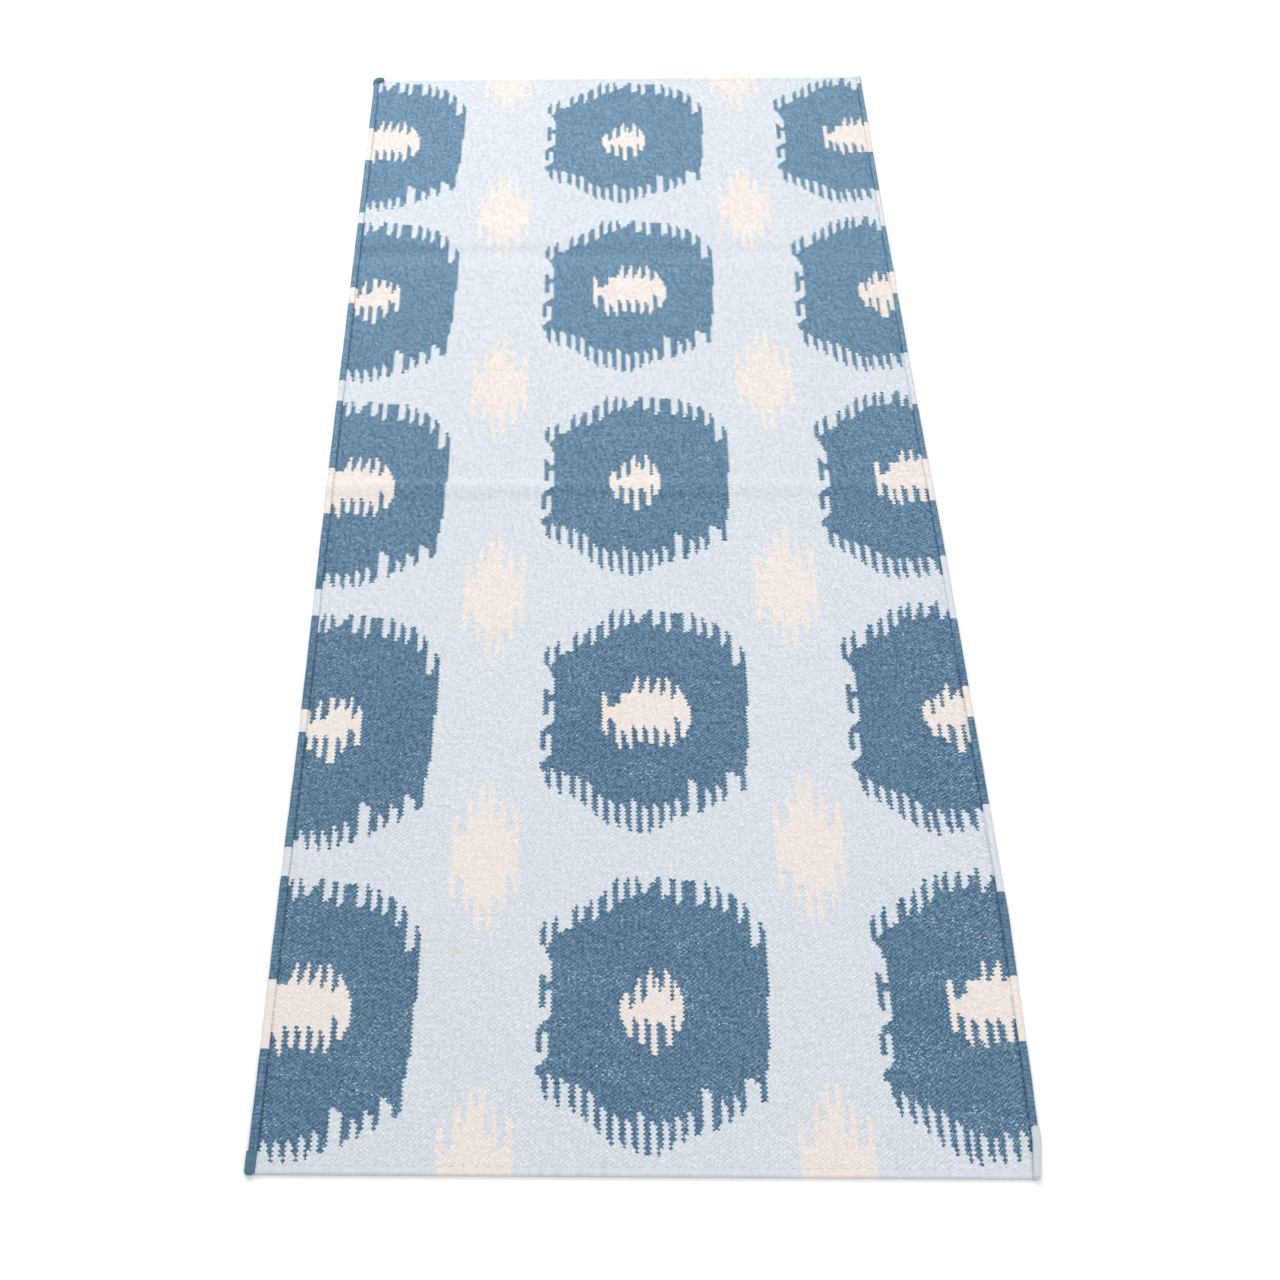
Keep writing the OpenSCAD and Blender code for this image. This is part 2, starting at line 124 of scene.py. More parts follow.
def mark(labels, triangle, value):
    """Gives value to each cell of the weave whose middle lies in the triangle."""
    p = np.column_stack([
        (triangle[:, 0] - ground_low.x) / WARP - 0.5,
        (triangle[:, 1] - ground_low.y) / CELL_L - 0.5,
    ])
    low = np.maximum(np.ceil(p.min(axis=0) - 1e-4).astype(int), 0)
    high = np.minimum(np.floor(p.max(axis=0) + 1e-4).astype(int) + 1, labels.shape)
    if (high <= low).any():
        return
    i, j = np.meshgrid(np.arange(low[0], high[0]), np.arange(low[1], high[1]), indexing="ij")
    a, b, c = p
    whole = (b[0] - a[0]) * (c[1] - a[1]) - (c[0] - a[0]) * (b[1] - a[1])
    s = ((i - a[0]) * (c[1] - a[1]) - (c[0] - a[0]) * (j - a[1])) / whole
    t = ((b[0] - a[0]) * (j - a[1]) - (i - a[0]) * (b[1] - a[1])) / whole
    inside = (s >= -1e-4) & (t >= -1e-4) & (s + t <= 1 + 1e-4)
    labels[low[0]:high[0], low[1]:high[1]][inside] = value


def read_pattern():
    """The colour area that each cell of the weave belongs to: one warp by half a weft pass."""
    labels = np.full((WARPS_ACROSS, CELLS_ALONG), -1)
    for value, node in enumerate(colour_nodes):
        for triangle in top_triangles(node):
            mark(labels, triangle, value)
    for i in range(WARPS_ACROSS):
        known = np.flatnonzero(labels[i] >= 0)
        gaps = np.flatnonzero(labels[i] < 0)
        if len(known) == 0 or len(gaps) == 0:
            continue
        labels[i, gaps] = labels[i, known[np.abs(known[None, :] - gaps[:, None]).argmin(axis=1)]]
    return labels


labels = read_pattern()
field = labels[ROLL_WARPS:-ROLL_WARPS]
middle_of_roll = ROLL_WARPS // 2
roll_labels = {"left": labels[middle_of_roll], "right": labels[-1 - middle_of_roll]}

# ---------------------------------------------------------------- the cloth's shape

BEAD_H = 0.24 * MM
SERRATION = 0.33
END_R = 2.2 * MM
FOLD_R = 1.6 * MM
PLAIN_END = 8 * MM

# Creases left by folding: place along, how wide its near and its far side are,
# and how high it stands at the left and at the right; below 0 is a valley.
CREASES = [
    (0.930, 0.020, 0.012, 2.6 * MM, 1.3 * MM),
    (1.393, 0.016, 0.022, -1.9 * MM, -0.9 * MM),
]
SWELLS = [(0.93, 0.09, 0.8 * MM), (1.39, 0.07, 2.2 * MM)]


def smooth_noise(u, v, cells_u, cells_v, seed):
    """Gentle noise from -1 to 1 over the rug, from a coarse grid of random values."""
    values = np.random.default_rng(seed).uniform(-1, 1, (cells_u + 3, cells_v + 3))
    x = np.clip(u / RUG_W, 0, 0.9999) * cells_u + 1
    y = np.clip(v / RUG_L, 0, 0.9999) * cells_v + 1
    i, j = x.astype(int), y.astype(int)
    fx, fy = x - i, y - j
    fx, fy = fx * fx * (3 - 2 * fx), fy * fy * (3 - 2 * fy)
    near_side = values[i, j] * (1 - fx) + values[i + 1, j] * fx
    far_side = values[i, j + 1] * (1 - fx) + values[i + 1, j + 1] * fx
    return near_side * (1 - fy) + far_side * fy


def lift(u, v):
    """How far the cloth stands off the floor: storage creases, and slight waves."""
    height = 0.35 * MM * (1 + smooth_noise(u, v, 5, 11, 3))
    for place, width, rise in SWELLS:
        height = height + rise * np.exp(-((v - place) / width) ** 2)
    for place, near_side, far_side, at_left, at_right in CREASES:
        away = (v - place - 3 * MM * smooth_noise(u, v, 7, 1, 5)) / np.where(v < place, near_side, far_side)
        rise = at_left + (at_right - at_left) * u / RUG_W
        height = height + rise * np.exp(-np.abs(away) ** 1.5) * (1 + 0.2 * smooth_noise(u, v, 9, 3, 6))
    return height * np.clip(np.minimum(v, RUG_L - v) / 0.05, 0, 1)


# How far the two sides stray from straight, at places along the rug.
SIDE_PLACES = np.array([0, 0.04, 0.1, 0.3, 0.55, 0.8, 1.1, 1.4, RUG_L])
RIGHT_BOW = np.array([0, 6, 8, 12.5, 10.5, 9, 4, 0.5, -1.5]) * MM
LEFT_BOW = np.array([0, 0.3, 0.5, 1, 2.5, 2, 2, 3, 3]) * MM


# The rug is drawn a little out of square, to agree with the camera's view: its two
# sides are drawn along against each other, the more so the further they are from one
# place along it. The real rug may be square.
SQUARE_AT = 1.14
DRAWN_ALONG = 6.8 * MM


def to_rug(u, v):
    """Place in the row frame of a point u across and v along the rug, as it really lies."""
    right_bow = np.interp(v, SIDE_PLACES, RIGHT_BOW)
    left_bow = np.interp(v, SIDE_PLACES, LEFT_BOW)
    right_share = np.clip((u - 0.88 * RUG_W) / (0.12 * RUG_W), 0, 1.02) ** 2
    left_share = np.clip(1 - u / (0.12 * RUG_W), 0, 1.02) ** 2
    off_middle = 2 * u / RUG_W - 1
    x = u + right_bow * right_share + left_bow * left_share + (2.5 * off_middle ** 2 - 0.5 - 0.8 * v) * MM
    y = v + DRAWN_ALONG * off_middle * (v - SQUARE_AT)
    return ground_low.x + x, ground_low.y + y


def on_rug(u, v, z):
    """Points at height z in the cloth: the waves and creases carry them up."""
    x, y = to_rug(u, v)
    return np.stack([x, y, z + lift(u, v)], axis=-1)


def end_distance(v):
    return np.minimum(v, RUG_L - v)


def rounding(distance, radius):
    t = np.clip(distance / radius, 0, 1)
    return np.sqrt(1 - (1 - t) ** 2)


def weave_grid():
    """Corner points of the weave's cells on the upper and the lower face, and their u and v."""
    i, j = np.meshgrid(np.arange(FIELD_WARPS + 1), np.arange(CELLS_ALONG + 1), indexing="ij")
    u = ROLL_W + i * WARP
    v = j * CELL_L
    flat = np.stack([u, v, np.zeros(u.shape)], axis=-1)
    u = u + (ROLL_W - SEEN_ROLL_W["right"]) * np.clip((i - FIELD_WARPS + 10) / 10, 0, 1)
    tone = tones[field]
    padded = np.pad(tone, 1, mode="edge")
    step_right = padded[1:, 1:] - padded[:-1, 1:]
    step_right_before = padded[1:, :-1] - padded[:-1, :-1]
    side = np.where(np.sign(step_right) == np.sign(step_right_before), -np.sign(step_right), 0)
    wave = np.where((j // 2) % 2 == 0, 1.0, -1.0)
    u = u + side * wave * SERRATION * WARP * rng.uniform(0.6, 1.15, u.shape)
    step_up = padded[1:, 1:] - padded[1:, :-1]
    v = v + np.where((step_up != 0) & (side == 0), 0.4 * PASS * np.where(i % 2 == 0, 1, -1), 0)
    inner = (i > 0) & (i < FIELD_WARPS) & (j > 2) & (j < CELLS_ALONG - 2)
    u = u + inner * rng.normal(0, 0.12 * MM, u.shape)
    v = v + inner * (rng.normal(0, 0.12 * MM, v.shape) + 0.8 * MM * smooth_noise(u, v, 12, 20, 4))
    away = end_distance(v)
    over = np.where((i + ROLL_WARPS) % 2 == 0, 1.0, -1.0) * np.cos(math.pi * j / 2)
    beads = np.where(away < PLAIN_END, 0.3, 1.0)
    bead = BEAD_H * beads * (over * rng.uniform(0.4, 1.3, u.shape) + rng.uniform(-0.35, 0.35, u.shape))
    top = CLOTH_T - BEAD_H + bead
    top = np.where(away < END_R, 0.6 * CLOTH_T + (top - 0.6 * CLOTH_T) * rounding(away, END_R), top)
    from_side = np.minimum(i, FIELD_WARPS - i)
    dot = (j // 2) % 2 == 0
    top = np.where(from_side == 0, np.where(dot, 0.70, 0.90) * CLOTH_T, top)
    top = np.where(from_side == 1, np.where(dot, 0.90, 0.95) * CLOTH_T, top)
    bottom = BEAD_H - 0.8 * bead + 0.05 * MM
    over_hem = (away > FOLD_R) & (away < HEM_L + 0.5 * MM)
    bottom = np.where(over_hem, HEM_T + 0.15 * MM, bottom)
    bottom = np.where(away < FOLD_R, 0.5 * CLOTH_T * (1 - rounding(away, FOLD_R)), bottom)
    edge = from_side == 0
    tucked = np.maximum(bottom, np.where(dot, 0.3, 0.12) * CLOTH_T)
    bottom = np.where(edge & (away > FOLD_R), tucked, bottom)
    stitched = np.abs(away - STITCH_Y) < 0.75 * CELL_L
    top = np.where(stitched & ~edge, top - 0.12 * MM, top)
    return on_rug(u, v, top), on_rug(u, v, bottom), flat


top_points, bottom_points, flat_points = weave_grid()
POINTS_ALONG = CELLS_ALONG + 1


def cell_corners(i, j):
    """Corner numbers of cells, anticlockwise from above."""
    first = i * POINTS_ALONG + j
    return np.stack([first, first + POINTS_ALONG, first + POINTS_ALONG + 1, first + 1], axis=1)


def boundary_edges(quads):
    """Directed edges of the quads that no neighbour shares, in the quads' own direction."""
    edges = np.concatenate([quads[:, [k, (k + 1) % 4]] for k in range(4)])
    key = edges.min(axis=1) * (edges.max() + 1) + edges.max(axis=1)
    _, index, count = np.unique(key, return_index=True, return_counts=True)
    return edges[index[count == 1]]


Part = namedtuple("Part", "points soft_quads crisp_quads caps flat")


def woven_shell(value):
    """Closed shell of one colour area in the field."""
    i, j = np.nonzero(field == value)
    upper = cell_corners(i, j)
    used, index = np.unique(upper, return_inverse=True)
    upper = index.reshape(upper.shape)
    rim = boundary_edges(upper)
    count = len(used)
    lower = upper[:, ::-1] + count
    wall = np.stack([rim[:, 1], rim[:, 0], rim[:, 0] + count, rim[:, 1] + count], axis=1)
    points = np.concatenate([top_points.reshape(-1, 3)[used], bottom_points.reshape(-1, 3)[used]])
    flat = np.tile(flat_points.reshape(-1, 3)[used], (2, 1))
    return Part(points, np.concatenate([upper, lower]), wall, (), flat)


# ---------------------------------------------------------------- rolled selvedges

RING = 16
FAR_LEFT_WRAP = 15 * MM
NO_QUADS = np.empty((0, 4), int)
WRAPS = {
    "near_left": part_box("corner_wrap_near_left"),
    "near_right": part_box("corner_wrap_near_right"),
    "far_left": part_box("corner_wrap_far_left"),
    "far_right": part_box("corner_wrap_far_right"),
}


def roll_rings(side):
    """Rings of points round a rolled selvedge, one at each cell, and their u, v and turn."""
    j = np.arange(POINTS_ALONG)
    v = j * CELL_L
    turn = 2 * math.pi * np.arange(RING) / RING
    outer = -1 if side == "left" else 1
    seen_w = SEEN_ROLL_W[side]
    centre_u = seen_w / 2 if side == "left" else RUG_W - seen_w / 2
    near_end = WRAPS["near_" + side][1].y - ground_low.y
    far_end = WRAPS["far_" + side][0].y - ground_low.y
    if side == "left":
        far_end = RUG_L - FAR_LEFT_WRAP
    wrapped = (v < near_end) | (v > far_end)
    half_w = np.where(wrapped, seen_w / 2 - 1.4 * MM, seen_w / 2 + 0.1 * MM)[:, None]
    half_h = np.where(wrapped, ROLL_H / 2 - 1.2 * MM, ROLL_H / 2)[:, None]
    twist = np.cos(2 * math.pi * v[:, None] / (2 * PASS) - outer * turn[None, :])
    drift = 0.05 * np.interp(v, np.linspace(0, RUG_L, 90), rng.uniform(-1, 1, 90))[:, None]
    swell = 1 + 0.02 * twist + drift + rng.normal(0, 0.012, (POINTS_ALONG, RING))
    round_x = np.sign(np.cos(turn)) * np.abs(np.cos(turn)) ** 0.75
    round_z = np.sign(np.sin(turn)) * np.abs(np.sin(turn)) ** 0.85
    u = centre_u + half_w * swell * round_x[None, :]
    vv = np.repeat(v[:, None], RING, axis=1)
    z = np.maximum(ROLL_H / 2 + half_h * swell * round_z[None, :], 0.02 * MM)
    around = np.repeat(outer * turn[None, :] / (2 * math.pi) + 3, POINTS_ALONG, axis=0)
    return on_rug(u, vv, z), np.stack([u, vv, around], axis=-1)


rings = {side: roll_rings(side) for side in ("left", "right")}


def tube(ring_points, flat=None):
    """Closed tube through rings of points."""
    count, size, _ = ring_points.shape
    flat = ring_points if flat is None else flat
    k, s = np.meshgrid(np.arange(count - 1), np.arange(size), indexing="ij")
    first, second = k * size + s, k * size + (s + 1) % size
    faces = np.stack([first, second, second + size, first + size], axis=-1).reshape(-1, 4)
    ends = [list(range(size))[::-1], [(count - 1) * size + n for n in range(size)]]
    return Part(ring_points.reshape(-1, 3), faces, NO_QUADS, ends, flat.reshape(-1, 3))


def roll_tubes(value):
    """The rolled stretches of one colour area on both sides."""
    found = []
    for side in ("left", "right"):
        mine = np.concatenate([[False], roll_labels[side] == value, [False]])
        starts = np.flatnonzero(mine[1:] & ~mine[:-1])
        stops = np.flatnonzero(~mine[1:] & mine[:-1])
        points, flat = rings[side]
        found += [tube(points[a:b + 1], flat[a:b + 1]) for a, b in zip(starts, stops)]
    return found


# ---------------------------------------------------------------- meshes

def new_piece(name, parts, material, replaced=()):
    """One mesh from parts, riding on the rug's body. Each point keeps its u, v and turn."""
    loops, starts, soft, base, position = [], [], [], 0, 0
    for part in parts:
        for quads, is_soft in ((part.soft_quads, True), (part.crisp_quads, False)):
            loops.append((quads + base).ravel())
            starts.append(position + np.arange(len(quads)) * 4)
            soft.append(np.full(len(quads), is_soft))
            position += quads.size
        for face in part.caps:
            loops.append(np.array(face) + base)
            starts.append(np.array([position]))
            soft.append(np.array([False]))
            position += len(face)
        base += len(part.points)
    mesh = bpy.data.meshes.new(name)
    coords = np.concatenate([part.points for part in parts])
    corners = np.concatenate(loops)
    first = np.concatenate(starts)
    mesh.vertices.add(len(coords))
    mesh.vertices.foreach_set("co", coords.astype(np.float32).ravel())
    mesh.loops.add(len(corners))
    mesh.loops.foreach_set("vertex_index", corners.astype(np.int32))
    mesh.polygons.add(len(first))
    mesh.polygons.foreach_set("loop_start", first.astype(np.int32))
    mesh.update(calc_edges=True)
    is_soft = np.concatenate(soft)
    mesh.polygons.foreach_set("use_smooth", is_soft)
    edge_of_corner = np.empty(len(corners), int)
    mesh.loops.foreach_get("edge_index", edge_of_corner)
    corner_is_crisp = np.repeat(~is_soft, np.diff(np.append(first, len(corners))))
    crisp_edges = np.zeros(len(mesh.edges), bool)
    crisp_edges[edge_of_corner[corner_is_crisp]] = True
    mesh.edges.foreach_set("use_edge_sharp", crisp_edges)
    place = mesh.attributes.new("weave", "FLOAT_VECTOR", "POINT")
    flat = np.concatenate([part.flat for part in parts])
    place.data.foreach_set("vector", flat.astype(np.float32).ravel())
    mesh.materials.append(material)
    piece = bpy.data.objects.new(name, mesh)
    bpy.context.scene.collection.objects.link(piece)
    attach(piece, "root")
    if replaced:
        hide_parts(*replaced)
    return piece


# ---------------------------------------------------------------- materials

def add_node(tree, kind, inputs=(), **settings):
    made = tree.nodes.new(kind)
    for key, value in settings.items():
        setattr(made, key, value)
    for socket, value in dict(inputs).items():
        if isinstance(value, bpy.types.NodeSocket):
            tree.links.new(value, made.inputs[socket])
        else:
            made.inputs[socket].default_value = value
    return made


def maths(tree, operation, *values, clamp=False):
    made = add_node(tree, "ShaderNodeMath", dict(enumerate(values)), operation=operation, use_clamp=clamp)
    return made.outputs[0]


def mixed(tree, share, a, b, blend="MIX"):
    made = add_node(tree, "ShaderNodeMix", data_type="RGBA", blend_type=blend)
    for socket, value in ((0, share), (6, a), (7, b)):
        if isinstance(value, bpy.types.NodeSocket):
            tree.links.new(value, made.inputs[socket])
        else:
            made.inputs[socket].default_value = value if socket == 0 else (*value[:3], 1)
    return made.outputs[2]


def mixed_value(tree, share, a, b):
    made = add_node(tree, "ShaderNodeMix", {0: share, 2: a, 3: b}, data_type="FLOAT")
    return made.outputs[0]


def noise(tree, place, scale, detail=2, roughness=0.5):
    inputs = {"Vector": place, "Scale": scale, "Detail": detail, "Roughness": roughness}
    return add_node(tree, "ShaderNodeTexNoise", inputs).outputs[0]


def stretched(tree, place, x, y, z):
    return add_node(tree, "ShaderNodeVectorMath", {0: place, 1: (x, y, z)}, operation="MULTIPLY").outputs[0]


def ramp(tree, value, low, high):
    made = add_node(tree, "ShaderNodeMapRange", {"Value": value, "From Min": low, "From Max": high})
    return made.outputs[0]


def spread(tree, value, low, high):
    """A value stretched between low and high, from -0.5 to 0.5."""
    return maths(tree, "SUBTRACT", ramp(tree, value, low, high), 0.5)


def bump(tree, height, strength, distance, normal=None):
    inputs = {"Height": height, "Strength": strength, "Distance": distance}
    if normal is not None:
        inputs["Normal"] = normal
    return add_node(tree, "ShaderNodeBump", inputs).outputs[0]


def white(tree, x, y):
    """A random value for each whole pair of x and y."""
    place = add_node(tree, "ShaderNodeCombineXYZ", {0: maths(tree, "FLOOR", x), 1: maths(tree, "FLOOR", y)})
    made = add_node(tree, "ShaderNodeTexWhiteNoise", {"Vector": place.outputs[0]}, noise_dimensions="2D")
    return made.outputs["Value"]


def times(tree, *values):
    product = values[0]
    for value in values[1:]:
        product = maths(tree, "MULTIPLY", product, value)
    return product


def spot(tree, place, u, v, radius):
    """1 in the middle of a round spot, 0 outside it, with a ragged rim."""
    away = add_node(tree, "ShaderNodeVectorMath", {0: place, 1: (u, v, 0)}, operation="SUBTRACT").outputs[0]
    far = add_node(tree, "ShaderNodeVectorMath", {0: away}, operation="LENGTH").outputs["Value"]
    ragged = maths(tree, "ADD", far, times(tree, noise(tree, place, 0.9 / radius, 2), radius))
    return ramp(tree, ragged, 1.5 * radius, 0.6 * radius)


def wool(name, dye):
    """Weft-faced wool: slanting beads over the warps, heathered yarn, flecks; painted shade and painted
    highlight on the beads, in the selvedge groove, at the hem stitches and along the creases, and a painted
    sheen towards the far end.
    """
    material = bpy.data.materials.new(name)
    material.use_nodes = True
    tree = material.node_tree
    shader = tree.nodes["Principled BSDF"]
    shader.inputs["Roughness"].default_value = 0.9
    shader.inputs["Specular IOR Level"].default_value = 0.2
    shader.inputs["Sheen Weight"].default_value = dye["sheen"]
    shader.inputs["Sheen Roughness"].default_value = 0.4
    weave = add_node(tree, "ShaderNodeAttribute", attribute_name="weave").outputs["Vector"]
    axes = add_node(tree, "ShaderNodeSeparateXYZ", {0: weave})
    u, v, turn = axes.outputs[0], axes.outputs[1], axes.outputs[2]
    on_roll = maths(tree, "GREATER_THAN", turn, 1)
    from_end = maths(tree, "MINIMUM", v, maths(tree, "SUBTRACT", RUG_L, v))
    from_side = maths(tree, "MINIMUM", u, maths(tree, "SUBTRACT", RUG_W, u))
    plain_end = ramp(tree, from_end, PLAIN_END + 1.5 * MM, PLAIN_END - 1 * MM)
    plain = maths(tree, "MAXIMUM", plain_end, on_roll)

    across = times(tree, u, math.pi / WARP)
    along = times(tree, v, math.pi / PASS)
    drift = noise(tree, stretched(tree, weave, 0.7 / WARP, 0.22 / PASS, 3), 1, 1)
    wobble = times(tree, maths(tree, "SUBTRACT", drift, 0.5), 6)
    shifted = maths(tree, "ADD", along, wobble)
    brick = times(tree, maths(tree, "COSINE", across), maths(tree, "COSINE", shifted))
    slanted = maths(tree, "SUBTRACT", times(tree, across, 2), shifted)
    strokes = maths(tree, "COSINE", slanted)
    streak_place = add_node(tree, "ShaderNodeCombineXYZ", {
        0: times(tree, slanted, 0.27), 1: times(tree, v, 0.55 / PASS), 2: turn,
    })
    streaks = spread(tree, noise(tree, streak_place.outputs[0], 1, 2, 0.6), 0.28, 0.72)
    beads = maths(tree, "ADD", times(tree, brick, 0.40), times(tree, strokes, 0.30))
    beads = maths(tree, "ADD", beads, times(tree, streaks, 1.9))
    lay = maths(tree, "SUBTRACT", along, times(tree, turn, 2 * math.pi))
    wrap_place = add_node(tree, "ShaderNodeCombineXYZ", {
        0: times(tree, lay, 0.5), 1: times(tree, turn, 11), 2: drift,
    })
    worn_wrap = spread(tree, noise(tree, wrap_place.outputs[0], 1, 2, 0.6), 0.3, 0.7)
    strands = maths(tree, "ADD", times(tree, maths(tree, "COSINE", lay), 0.35), times(tree, worn_wrap, 1.6))
    ribs = maths(tree, "COSINE", times(tree, across, 2))
    end_relief = mixed_value(tree, on_roll, times(tree, ribs, 0.12), strands)
    relief = mixed_value(tree, plain, beads, end_relief)
    shows = mixed_value(tree, on_roll, 1, dye["roll"])

    bead_tone = white(tree, times(tree, u, 1 / WARP), times(tree, v, 0.5 / PASS))
    rows = noise(tree, stretched(tree, weave, 22, 1 / PASS, 3), 1, 1)
    grain = noise(tree, stretched(tree, weave, 420, 300, 3), 1, 3, 0.6)
    heather = noise(tree, stretched(tree, weave, 170, 110, 3), 1, 2)
    broad = noise(tree, weave, 7, 2)
    far = ramp(tree, v, 0.3, 1.6)
    far_grain = mixed_value(tree, far, 0.35, 1.5)
    tint = maths(tree, "ADD", 0.5, times(tree, maths(tree, "SUBTRACT", bead_tone, 0.5), far_grain))
    for layer, near_weight, far_weight in (
        (rows, 0.22, 0.12), (grain, 0.80, 1.50), (heather, 0.30, 0.55), (broad, 0.14, 0.10),
    ):
        centred = spread(tree, layer, 0.3, 0.7)
        tint = maths(tree, "ADD", tint, times(tree, centred, mixed_value(tree, far, near_weight, far_weight)))
    hue = ramp(tree, noise(tree, stretched(tree, weave, 75, 60, 3), 1, 3), 0.36, 0.64)
    dyed = mixed(tree, hue, dye["colour"], dye["other"])
    base = mixed(tree, maths(tree, "ADD", tint, 0, clamp=True), dye["shade"], dyed)
    # Painted sheen: the wool is lightened towards the far end, where the view grazes it; only the dark blue
    # has any.
    base = mixed(tree, times(tree, ramp(tree, v, 0.6, 1.4), dye["far_sheen_share"]), base, dye["far_sheen_colour"])
    # Painted shade: the hollows between the beads, and between the wraps on the rolls, are darkened.
    valley = times(tree, ramp(tree, relief, 0.15, -1.0), dye["valley"], shows)
    base = mixed(tree, valley, base, dye["deep"])
    # Painted highlight: the crowns of the beads and wraps are lightened.
    crown = times(tree, ramp(tree, relief, 0.25, 1.0), dye["crown"], shows)
    base = mixed(tree, crown, base, dye["painted_highlight_colour"])

    patches = ramp(tree, noise(tree, stretched(tree, weave, 13, 26, 3), 1, 3), 0.46, 0.70)
    near_rows = ramp(tree, v, 1.2, 0.1)
    share = times(tree, patches, maths(tree, "ADD", times(tree, near_rows, 0.11), 0.03), dye["flecks"])
    fleck_place = white(tree, times(tree, u, 1 / (0.7 * WARP)), times(tree, v, 1 / (0.45 * PASS)))
    shown = maths(tree, "GREATER_THAN", fleck_place, maths(tree, "SUBTRACT", 1, share))
    soft = ramp(tree, noise(tree, stretched(tree, weave, 500, 900, 3), 1, 1), 0.42, 0.60)
    off_roll = maths(tree, "SUBTRACT", 1, on_roll)
    base = mixed(tree, times(tree, shown, soft, off_roll, 0.85), base, dye["fleck"])

    # Painted shade: a dotted dark line in the groove between the rolled selvedge and the field.
    dots = noise(tree, stretched(tree, weave, 90, 0.75 / PASS, 0), 1, 1)
    groove_dots = maths(tree, "ADD", 0.15, times(tree, ramp(tree, dots, 0.38, 0.58), 0.85))
    off_groove = maths(tree, "ABSOLUTE", maths(tree, "SUBTRACT", from_side, ROLL_W + 0.5 * MM))
    groove = times(tree, ramp(tree, off_groove, 1.9 * MM, 0.5 * MM), groove_dots, dye["groove"])
    base = mixed(tree, groove, base, dye["deep"])
    # Painted shade: dark dashes in the dimples where the hem stitches pull the weave in.
    stitch_dots = maths(tree, "COSINE", times(tree, u, 2 * math.pi / (2 * WARP)))
    off_stitch = maths(tree, "ABSOLUTE", maths(tree, "SUBTRACT", maths(tree, "SUBTRACT", RUG_L, v), STITCH_Y))
    on_stitch = ramp(tree, off_stitch, 1.3 * MM, 0.4 * MM)
    stitched = times(tree, on_stitch, ramp(tree, stitch_dots, -0.2, 0.8), 0.35)
    base = mixed(tree, stitched, base, dye["deep"])

    # Painted shade and painted highlight along the creases: a dark band on one side and a light band on the
    # other, stronger at the left, where the creases stand higher.
    crease_shading_strength = maths(tree, "SUBTRACT", 1, times(tree, ramp(tree, u, 0, RUG_W), 0.6))
    for place, width, share, tone in CREASE_PAINTED_SHADING:
        off = maths(tree, "ABSOLUTE", maths(tree, "SUBTRACT", v, place))
        band = times(tree, ramp(tree, off, width, 0.15 * width), crease_shading_strength, share)
        base = mixed(tree, band, base, dye["deep"] if tone == "dark" else dye["painted_highlight_colour"])
    for spot_u, spot_v, radius, colour, share in dye["spots"]:
        base = mixed(tree, times(tree, spot(tree, weave, spot_u, spot_v, radius), share), base, colour)
    tree.links.new(base, shader.inputs["Base Color"])

    fibres = noise(tree, stretched(tree, weave, 800, 1700, 3), 1, 2, 0.6)
    rough = bump(tree, fibres, 0.5, 0.3 * MM)
    shaped = bump(tree, relief, times(tree, shows, 0.4), 0.4 * MM, rough)
    tree.links.new(shaped, shader.inputs["Normal"])
    return material


def plain_yarn(name, colour, shade):
    """Twisted yarn or sewing thread, without the weave's beads."""
    material = bpy.data.materials.new(name)
    material.use_nodes = True
    tree = material.node_tree
    shader = tree.nodes["Principled BSDF"]
    shader.inputs["Roughness"].default_value = 0.85
    shader.inputs["Specular IOR Level"].default_value = 0.2
    shader.inputs["Sheen Weight"].default_value = 0.25
    place = add_node(tree, "ShaderNodeTexCoord").outputs["Object"]
    fibres = noise(tree, stretched(tree, place, 1500, 1500, 1500), 1, 3, 0.6)
    patches = noise(tree, place, 120, 2)
    fine = times(tree, ramp(tree, fibres, 0.3, 0.7), 0.6)
    coarse = times(tree, ramp(tree, patches, 0.3, 0.7), 0.4)
    tint = maths(tree, "ADD", fine, coarse, clamp=True)
    tree.links.new(mixed(tree, tint, shade, colour), shader.inputs["Base Color"])
    tree.links.new(bump(tree, fibres, 0.5, 0.2 * MM), shader.inputs["Normal"])
    return material


SKY, SKY_SHADE = (0.665, 0.705, 0.730), (0.545, 0.590, 0.640)
NAVY, NAVY_SHADE = (0.128, 0.246, 0.340), (0.046, 0.112, 0.186)
CREAM, CREAM_SHADE = (0.785, 0.740, 0.700), (0.680, 0.620, 0.570)
COTTON, COTTON_SHADE = (0.78, 0.74, 0.66), (0.60, 0.55, 0.47)

# Faint marks and thicker bits of yarn: place, radius, colour and strength.
STAIN = (0.60, 0.57, 0.36)
MADDER = (0.62, 0.36, 0.36)
SKY_SPOTS = [
    (0.195, 0.250, 9 * MM, STAIN, 0.40),
    (0.168, 0.262, 4 * MM, STAIN, 0.30),
    (0.345, 0.032, 2.2 * MM, MADDER, 0.45),
    (0.605, 0.075, 1.8 * MM, MADDER, 0.40),
]
# Painted shade (dark) and painted highlight (light) bands beside the creases: place along, half width,
# strength and which of the two.
CREASE_PAINTED_SHADING = [
    (0.916, 0.014, 0.16, "dark"), (0.940, 0.010, 0.16, "light"),
    (1.408, 0.016, 0.16, "dark"), (1.378, 0.012, 0.12, "light"),
]

